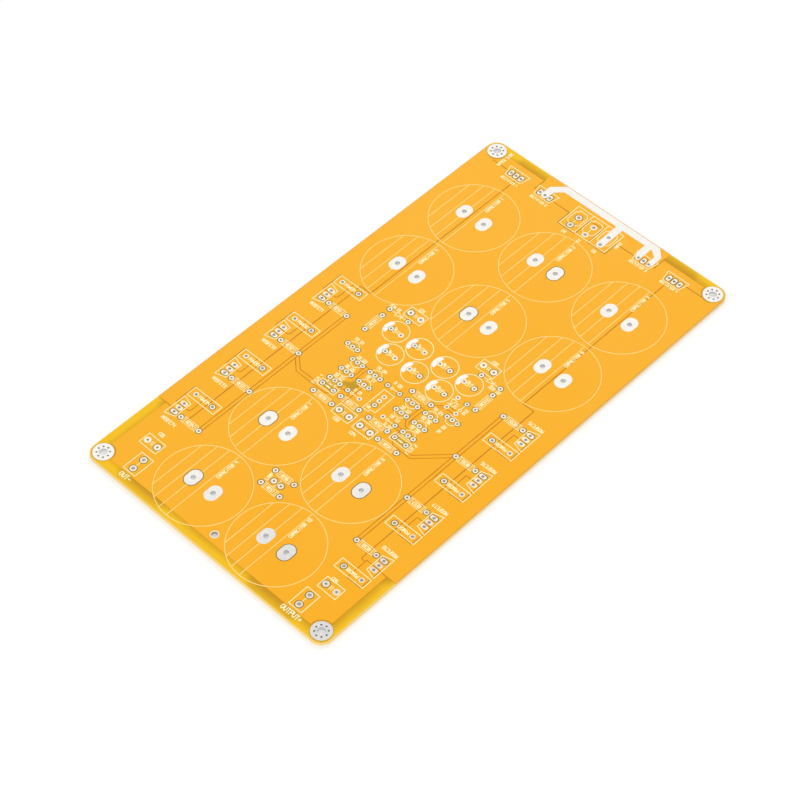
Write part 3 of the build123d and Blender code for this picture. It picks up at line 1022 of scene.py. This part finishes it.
def small_outline_fields():
    """Outlines of the small resistors, transistors, the trimmer and the lamp."""
    groups = [resistor_marks(centre, ACROSS, SHORT_BODY, SHORT_BAND) for centre in SHORT_RESISTORS]
    for centre in ALONG_RESISTORS:
        groups.append(resistor_marks(centre, ALONG, RESISTOR_BODY, RESISTOR_BAND))
    for centre, way in zip(SMALL_TRANSISTORS, TRANSISTOR_WAYS):
        turns = [QUARTER_TURN * way + side * TRANSISTOR_ARC for side in SIDES]
        back = ribbon(arc(centre, TRANSISTOR_RADIUS, *turns, SMALL_SIDES))
        groups.append(back + ribbon(shifted(centre, TRANSISTOR_FLAT, way)))
    groups.append(outlined(TRIMMERS[0], TRIMMER_OUTLINE))
    groups.append(ribbon(shifted(LAMPS[0], LAMP_ZIGZAG), FINE_INK_WIDTH))
    return groups


def diode_symbol(centre, direction, start):
    """A triangle with a bar at its tip, and lines to both leads."""
    side = direction.orthogonal() * DIODE_TRIANGLE_HALF
    tip = centre + direction * DIODE_TIP
    base = centre - direction * DIODE_TIP
    fields = ribbon(closed([base - side, base + side, tip])) + ribbon([tip - side, tip + side])
    return fields + ribbon([centre - direction * start, base]) + ribbon([tip, centre + direction * start])


def ring_symbol(centre, direction):
    """A small ring with a line to one lead."""
    ring = centre - direction * RING_OFFSET
    line = [ring + direction * RING_RADIUS, centre + direction * RING_LINE]
    return ribbon(closed(circle(ring, 2 * RING_RADIUS, RING_SIDES))) + ribbon(line)


def diode_fields():
    groups = [diode_symbol(centre, ACROSS, ZENER_REACH) for centre in ZENERS]
    groups += [ring_symbol(centre, ACROSS) for centre in PAIRED_DIODES + CENTRE_DIODES]
    plain, ringed = ALONG_DIODES
    return groups + [diode_symbol(plain, -ALONG, DIODE_REACH), ring_symbol(ringed, ALONG)]


def letters(text, centre, height, degrees):
    """Strokes of a line of plain lettering about its middle."""
    unit = height / LETTER_ROWS
    stroke_width = LETTER_STROKE + LETTER_STROKE_SHARE * height
    length = (len(text) * LETTER_ADVANCE - LETTER_GAP) * unit
    turn = Matrix.Rotation(math.radians(degrees), 2)
    fields = []
    for index, letter in enumerate(text):
        corner = Vector((index * LETTER_ADVANCE * unit - length / 2, -height / 2))
        for line in LETTER_LINES.get(letter, "").split(","):
            steps = [Vector((int(column), int(row))) for column, row in line.split()]
            points = [centre + turn @ (corner + step * unit) for step in steps]
            fields += ribbon(points, stroke_width, LETTER_CAP_SIDES)
    return fields


def numbered(words, places, height, degrees=0, first=1):
    """Lettering of like parts: the same words with a running number at each place."""
    return [letters(words.format(i), place, height, degrees) for i, place in enumerate(places, first)]


def power_lettering_fields():
    """Lettering of the reservoirs, rectifiers, power transistors, their resistors and the terminals."""
    groups = numbered("CAPACITOR {}", beside(RESERVOIRS, RESERVOIR_LABEL), LETTERS, QUARTER_TURN)
    groups += numbered("RECTIFIER {}", beside(RECTIFIERS, *RECTIFIER_LABELS), RECTIFIER_LETTERS)
    for side, first, offset in zip(SIDES, (1, 1 + len(DEVICE_ROW_SHARES)), DEVICE_LABELS):
        flip = QUARTER_TURN * (1 + side)
        groups += numbered("MOSFET{}", beside(device_centres(side), offset), DEVICE_LETTERS, flip, first)
        groups += numbered("POWER{}", source_resistor_centres(side), LETTERS, flip, first)
        groups += numbered("RES{}", gate_resistor_centres(side), LETTERS, flip, first)
    for text, place in zip(INPUT_TEXTS, beside(INPUTS, INPUT_LABEL)):
        groups.append(letters(text, place, BIG_LETTERS, 0))
    for text, place in zip(OUTPUT_TEXTS, beside(OUTPUTS, OUTPUT_LABEL)):
        groups.append(letters(text, place, OUTPUT_LETTERS, 0))
    return groups


def small_lettering_fields():
    """Lettering of the smaller parts and of the board itself."""
    trimmer, lamp = beside(TRIMMERS + LAMPS, TRIMMER_LABEL, LAMP_LABEL)
    groups = [letters("VR", trimmer, SMALL_LETTERS, 0), letters("LAMP", lamp, LETTERS, QUARTER_TURN)]
    groups.append(letters("UPPER SIDE", spot(*TOP_LABEL_SHARES), LETTERS, QUARTER_TURN))
    groups.append(letters("INPUT", spot(*INPUT_SIDE_LABEL_SHARES), LETTERS, QUARTER_TURN))
    films = beside(SMALL_FILMS, *SMALL_FILM_LABELS)
    groups += numbered("C0{}", beside(FILMS, *FILM_LABELS), LETTERS)
    groups += numbered("FILM {}", films, LETTERS, QUARTER_TURN)
    for words, offset in zip(ELECTROLYTIC_WORDS, ELECTROLYTIC_LABELS):
        groups += numbered(words, beside(ELECTROLYTICS, offset), LETTERS, QUARTER_TURN)
    for number, place in enumerate(beside(SMALL_TRANSISTORS, *TRANSISTOR_LABELS), 1):
        turn = QUARTER_TURN if number == TURNED_TRANSISTOR else 0
        groups.append(letters(f"TR {number:02}", place, LETTERS, turn))
    groups += numbered("ZEN 0{}", beside(ZENERS, *ZENER_LABELS), LETTERS)
    groups += numbered("RES{}", SHORT_RESISTORS, SMALL_LETTERS)
    groups += numbered("RES1{}", ALONG_RESISTORS, SMALL_LETTERS, QUARTER_TURN)
    groups += numbered("D 0{}", beside(PAIRED_DIODES + CENTRE_DIODES, *DIODE_LABELS), LETTERS)
    along = beside(ALONG_DIODES, ALONG_DIODE_LABEL)
    return groups + numbered("D1{}", along, LETTERS, QUARTER_TURN)


def linear(colour):
    """A colour written as screen values, as the linear values that a shader takes."""
    screen = Color([value / SCREEN_WHITE for value in colour])
    return (*screen.from_srgb_to_scene_linear(), 1)


class Nodes:
    """A node tree and short ways to add to it."""

    def __init__(self, tree):
        self.tree = tree

    def link(self, source, target):
        self.tree.links.new(source, target)

    def fill(self, socket, value):
        """Links a socket to another or sets its value."""
        if isinstance(value, bpy.types.NodeSocket):
            self.link(value, socket)
        else:
            socket.default_value = value

    def node(self, kind, *inputs, **settings):
        """A new node with some settings, whose first inputs are linked or set."""
        made = self.tree.nodes.new("ShaderNode" + kind)
        for name, value in settings.items():
            setattr(made, name, value)
        for socket, value in zip(made.inputs, inputs):
            self.fill(socket, value)
        return made

    def shader(self, kind, *inputs):
        return self.node(kind, *inputs).outputs[0]

    def math(self, operation, first, second=0):
        return self.node("Math", first, second, operation=operation).outputs[0]

    def spread(self, value, low, high, to_low=0, to_high=1):
        """A value carried from one range to another."""
        return self.node("MapRange", value, low, high, to_low, to_high).outputs["Result"]

    def background_rays(self):
        """Full strength for the rays that see the background straight, in a reflection or through a pane."""
        path = self.node("LightPath")
        seen = path.outputs["Is Camera Ray"]
        for name in ("Is Glossy Ray", "Is Transmission Ray"):
            seen = self.math("MAXIMUM", seen, path.outputs[name])
        return seen


class Finish(Nodes):
    """A procedural material and short ways to build its looks."""

    def __init__(self, name, metallic=0, specular=COAT_SPECULAR):
        self.material = bpy.data.materials.new(name)
        self.material.use_nodes = True
        super().__init__(self.material.node_tree)
        self.sockets = self.tree.nodes["Principled BSDF"].inputs
        self.sockets["Metallic"].default_value = metallic
        self.sockets["Specular IOR Level"].default_value = specular
        self.place = self.node("TexCoord").outputs["Object"]
        self.x, self.y, self.z = self.node("SeparateXYZ", self.place).outputs

    def noise(self, size, to_low=0, to_high=1):
        """Soft noise between two values, with features of a size in millimetres."""
        made = self.node("TexNoise", self.place)
        made.inputs["Scale"].default_value = 1 / (size * MM)
        return self.spread(made.outputs["Fac"], NOISE_LOW, NOISE_HIGH, to_low, to_high)

    def blend(self, factor, first, second):
        """A colour between two colours or sockets."""
        made = self.node("Mix", factor, data_type="RGBA")
        for socket, value in zip(made.inputs[MIX_COLOURS], (first, second)):
            self.fill(socket, value)
        return made.outputs[MIX_RESULT]

    def mottle(self, size, colours):
        """Two colours mixed by soft noise."""
        return self.blend(self.noise(size), *(linear(colour) for colour in colours))

    def finished(self, colour, grain):
        """The material with its colour, uneven roughness and a fine relief."""
        size, depth, roughness = grain
        self.link(colour, self.sockets["Base Color"])
        self.link(self.noise(size, *roughness), self.sockets["Roughness"])
        bump = self.node("Bump")
        bump.inputs["Distance"].default_value = depth * MM
        self.link(self.noise(size), bump.inputs["Height"])
        self.link(bump.outputs["Normal"], self.sockets["Normal"])
        return self.material


def corner_distance(finish):
    """How far a point lies towards the right corner of the output end, in millimetres."""
    return finish.math("DIVIDE", finish.math("SUBTRACT", finish.x, finish.y), MM)


def mask_over_copper():
    """Orange mask with a painted reflection, a little paler towards the left corner of the input end."""
    finish = Finish("mask_over_copper")
    wander = finish.noise(MASK_REFLECTION_WANDER_SIZE, -MASK_REFLECTION_WANDER, MASK_REFLECTION_WANDER)
    place = finish.math("ADD", corner_distance(finish), wander)
    less_reflection = finish.spread(place, -MASK_REFLECTION_REACH, MASK_REFLECTION_REACH)
    colour = finish.blend(less_reflection, linear(MASK_MORE_REFLECTION_COLOUR), linear(MASK_LESS_REFLECTION_COLOUR))
    return finish.finished(colour, MASK_GRAIN)


def edge_distance(finish):
    """How far a point lies from the nearest straight edge of the panel, in millimetres."""
    distances = []
    for place, length in ((finish.x, BOARD_WIDTH), (finish.y, BOARD_LENGTH)):
        inside = finish.math("SUBTRACT", length * MM / 2, finish.math("ABSOLUTE", place))
        distances.append(finish.math("DIVIDE", inside, MM))
    return finish.math("MINIMUM", *distances)


def margin_lean(finish):
    """Extra depth of the painted shade band: least at the left edge, most in the runs of deeper shade."""
    across = finish.math("DIVIDE", finish.x, BOARD_WIDTH * MM)
    along = finish.math("DIVIDE", finish.y, BOARD_LENGTH * MM)
    column = finish.math("ABSOLUTE", across)
    started = finish.spread(column, *MARGIN_SHADE_START_SHARES)
    unended = finish.spread(column, *MARGIN_SHADE_END_SHARES)
    beside_pour = finish.spread(finish.math("ABSOLUTE", along), *MARGIN_SHADE_SIDE_SHARES)
    run = finish.math("MAXIMUM", finish.math("MULTIPLY", started, unended), beside_pour)
    lean = finish.spread(across, *EDGE_SHARES, *MARGIN_SHADE_LEANS)
    return finish.math("ADD", lean, finish.math("MULTIPLY", run, MARGIN_SHADE_LEAN))


def mask_over_margin():
    """Mask on bare laminate: a painted glow where light comes up through the edge, and painted shade by the
    pour.
    """
    finish = Finish("mask_over_margin")
    distance = edge_distance(finish)
    wander = finish.noise(MARGIN_SHADE_WANDER_SIZE, -MARGIN_SHADE_WANDER, MARGIN_SHADE_WANDER)
    depth = finish.math("ADD", distance, finish.math("ADD", wander, margin_lean(finish)))
    # Painted glow at the edge, turning into painted shade by the pour
    body = finish.blend(finish.spread(depth, *MARGIN_SHADE_BAND), linear(MARGIN_PAINTED_GLOW), linear(MARGIN_PAINTED_SHADE))
    colour = finish.blend(finish.spread(distance, 0, MARGIN_RIM_DEPTH), linear(MARGIN_RIM), body)
    return finish.finished(colour, MASK_GRAIN)


def mask_over_ground(name, colours):
    """Mask over etched ground, darker than the pours beside it."""
    finish = Finish(name)
    return finish.finished(finish.mottle(GROUND_TONE_SIZE, colours), MASK_GRAIN)


def cut_laminate():
    """The routed edge: pale resin with fine layers of glass."""
    finish = Finish("cut_laminate")
    scale = 1 / (EDGE_LAYER_SIZE * MM)
    layers = finish.node("TexWave", finish.place, scale, EDGE_LAYER_WANDER, bands_direction="Z")
    colour = finish.blend(layers.outputs["Fac"], *(linear(colour) for colour in EDGE_COLOURS))
    return finish.finished(colour, EDGE_GRAIN)


def tinned_copper(name, bright_reflection_colours, dim_reflection_colours, bore_shade_colour):
    """Mottled tin, its painted reflection dimmer towards the output end's right corner, and painted shade in
    the bores.
    """
    finish = Finish(name, metallic=1, specular=METAL_SPECULAR)
    tones = [finish.mottle(TIN_TONE_SIZE, colours) for colours in (bright_reflection_colours, dim_reflection_colours)]
    # Painted reflection, dimmer towards the right corner of the output end
    face = finish.blend(finish.spread(corner_distance(finish), *TIN_REFLECTION_FADE_BAND), *tones)
    # Painted shade down in the bores, deepest halfway between the two faces
    half = LAND_LEVEL * MM / 2
    off_middle = finish.math("ABSOLUTE", finish.math("SUBTRACT", finish.z, half))
    inside = finish.math("DIVIDE", finish.math("SUBTRACT", half, off_middle), MM)
    colour = finish.blend(finish.spread(inside, *BORE_SHADE_BAND), face, linear(bore_shade_colour))
    return finish.finished(colour, TIN_GRAIN)


def legend_ink(name, colours):
    finish = Finish(name)
    return finish.finished(finish.mottle(INK_TONE_SIZE, colours), INK_GRAIN)


def weld(mesh):
    """Joins points that lie in one place, and takes out faces of no area."""
    form = bmesh.new()
    form.from_mesh(mesh)
    bmesh.ops.remove_doubles(form, verts=form.verts, dist=WELD_REACH * MM)
    bmesh.ops.dissolve_degenerate(form, dist=WELD_REACH * MM, edges=form.edges)
    form.to_mesh(mesh)
    form.free()


def place_object(name, data):
    made = bpy.data.objects.new(name, data)
    bpy.context.scene.collection.objects.link(made)
    return made


def make_piece(name, shape, materials, slot, *replaced):
    mesh = bpy.data.meshes.new(name)
    mesh.from_pydata([Vector(point) * MM for point in shape.points], [], shape.faces)
    for material in materials:
        mesh.materials.append(material)
    mesh.polygons.foreach_set("material_index", shape.zones)
    weld(mesh)
    mesh.shade_smooth()
    mesh.set_sharp_from_angle(angle=math.radians(SHARP_ANGLE))
    piece = place_object(name, mesh)
    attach(piece, "root")
    if replaced:
        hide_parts(*replaced)


def build_panel():
    """The laminate and its masked pours. The order of its materials is that of the zones."""
    copper = mask_over_copper()
    ground = [
        mask_over_ground("mask_over_lines", LINE_COLOURS),
        mask_over_ground("mask_over_rims", RIM_COLOURS),
        mask_over_margin(),
        mask_over_ground("mask_over_patches", PATCH_COLOURS),
        cut_laminate(),
    ]
    make_piece("panel_laminate", laminate_shape(), ground, "solder_mask", "board_panel")
    make_piece("upper_pours", upper_pour_shape(), [copper], "solder_mask")
    make_piece("lower_pours", lower_pour_shape(), [copper], "solder_mask")


def build_tin():
    """The corner lands, the bus strip and the plated holes."""
    small_tones = (BRIGHT_REFLECTION_SMALL_TIN_COLOURS, DIM_REFLECTION_SMALL_TIN_COLOURS)
    tin = tinned_copper("tinned_copper", BRIGHT_REFLECTION_TIN_COLOURS, DIM_REFLECTION_TIN_COLOURS, BORE_SHADE_COLOUR)
    small_tin = tinned_copper("small_tinned_copper", *small_tones, SMALL_BORE_SHADE_COLOUR)
    plain_tin = tinned_copper("plain_hole_tin", *small_tones, PLAIN_BORE_SHADE_COLOUR)
    metals = {RESERVOIR_DRILL: tin, PLAIN_DRILL: plain_tin}
    make_piece("corner_lands", mounting_land_shape(), [tin], "tinned_copper", "mounting_lands")
    make_piece("bus_strip", strip_shape(), [tin], "tinned_copper", "input_bus_strip")
    for name, leads in LEAD_GROUPS.items():
        replaced = [name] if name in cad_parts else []
        metal = metals.get(leads[0].drill, small_tin)
        own_name = name.replace("lands", "eyelets")
        make_piece(own_name, eyelet_shape(leads), [metal], "tinned_copper", *replaced)


def build_print():
    """The printed legend."""
    thin_ink = legend_ink("thin_legend_ink", THIN_INK_COLOURS)
    ink = legend_ink("legend_ink", INK_COLOURS)
    solid_ink = legend_ink("solid_legend_ink", SOLID_INK_COLOURS)
    make_piece("reservoir_rings", reservoir_ring_shape(), [thin_ink], "legend_ink", "reservoir_outlines")
    for name, groups, material, layer in (
        ("power_part_outlines", power_outline_fields(), ink, OUTLINE_LAYER),
        ("terminal_outlines", terminal_outline_fields(), ink, OUTLINE_LAYER),
        ("capacitor_outlines", capacitor_outline_fields(), ink, OUTLINE_LAYER),
        ("small_part_outlines", small_outline_fields(), ink, OUTLINE_LAYER),
        ("diode_symbols", diode_fields(), ink, OUTLINE_LAYER),
        ("reservoir_hatching", hatch_fields(), thin_ink, HATCH_LAYER),
        ("polarity_marks", polarity_fields(), solid_ink, OUTLINE_LAYER),
        ("power_part_lettering", power_lettering_fields(), ink, LETTER_LAYER),
        ("small_part_lettering", small_lettering_fields(), ink, LETTER_LAYER),
    ):
        make_piece(name, print_shape(groups, layer), [material], "legend_ink")


def make_camera():
    azimuth = math.radians(CAMERA_AZIMUTH)
    elevation = math.radians(CAMERA_ELEVATION)
    level = Vector((math.sin(azimuth), -math.cos(azimuth), 0))
    back = level * math.cos(elevation) + Vector((0, 0, math.sin(elevation)))
    right = Vector((math.cos(azimuth), math.sin(azimuth), 0))
    axes = Matrix((right, back.cross(right), back)).transposed()
    rolled = axes @ Matrix.Rotation(math.radians(CAMERA_ROLL), 3, "Z")
    place = (CAMERA_TARGET + back * CAMERA_DISTANCE) * MM
    data = bpy.data.cameras.new("camera")
    data.lens = CAMERA_LENS
    data.sensor_width = CAMERA_SENSOR
    camera = place_object("camera", data)
    camera.matrix_world = Matrix.Translation(place) @ rolled.to_4x4()
    bpy.context.scene.camera = camera


def make_world():
    world = bpy.data.worlds.new("studio")
    world.use_nodes = True
    nodes = Nodes(world.node_tree)
    nodes.tree.nodes.remove(nodes.tree.nodes["Background"])
    sky, backdrop = (nodes.shader("Background", WHITE, level) for level in (SKY_LEVEL, ROOM_LEVEL))
    mix = nodes.shader("MixShader", nodes.background_rays(), sky, backdrop)
    nodes.link(mix, nodes.tree.nodes["World Output"].inputs["Surface"])
    bpy.context.scene.world = world


def floor_material():
    """White paper: most of its brightness near the board is lit, so that it keeps the shadow, and further
    off it turns into the white of the room. It is clear from below."""
    material = bpy.data.materials.new("floor")
    material.use_nodes = True
    nodes = Nodes(material.node_tree)
    nodes.tree.nodes.remove(nodes.tree.nodes["Principled BSDF"])
    rays = nodes.background_rays()
    lit = nodes.shader("BsdfDiffuse", (FLOOR_LIT, FLOOR_LIT, FLOOR_LIT, 1))
    own = nodes.shader("Emission", (FLOOR_OWN, FLOOR_OWN, FLOOR_OWN, 1), rays)
    room = nodes.shader("Emission", WHITE, rays)
    geometry = nodes.node("NewGeometry")
    distance = nodes.node("VectorMath", geometry.outputs["Position"], operation="LENGTH").outputs["Value"]
    fade = nodes.spread(distance, *(reach * MM for reach in FLOOR_FADE))
    upper = nodes.shader("MixShader", fade, nodes.shader("AddShader", lit, own), room)
    clear = nodes.shader("BsdfTransparent")
    sided = nodes.shader("MixShader", geometry.outputs["Backfacing"], upper, clear)
    nodes.link(sided, nodes.tree.nodes["Material Output"].inputs["Surface"])
    return material


def make_floor():
    corners = rectangle(ZERO, FLOOR_SIZE, FLOOR_SIZE)
    mesh = bpy.data.meshes.new("floor")
    mesh.from_pydata([Vector((c.x, c.y, -FLOOR_DROP)) * MM for c in corners], [], [range(len(corners))])
    mesh.materials.append(floor_material())
    floor = place_object("floor", mesh)
    floor.visible_diffuse = False
    floor.visible_shadow = False


def make_lamp(name, place, casts_shadow):
    """A soft lamp aimed at the middle of the board, unseen in reflections."""
    data = bpy.data.lights.new(name, "AREA")
    data.size = LAMP_SIZE * MM
    data.energy = LAMP_POWER
    data.use_shadow = casts_shadow
    lamp = place_object(name, data)
    lamp.location = place * MM
    lamp.rotation_mode = "QUATERNION"
    lamp.rotation_quaternion = (-place).to_track_quat("-Z", "Y")
    lamp.visible_glossy = False


build_panel()
build_tin()
build_print()
make_camera()
make_world()
make_floor()
make_lamp("key", KEY_PLACE, True)
make_lamp("fill", FILL_PLACE, False)
bpy.context.scene.view_settings.view_transform = "Standard"
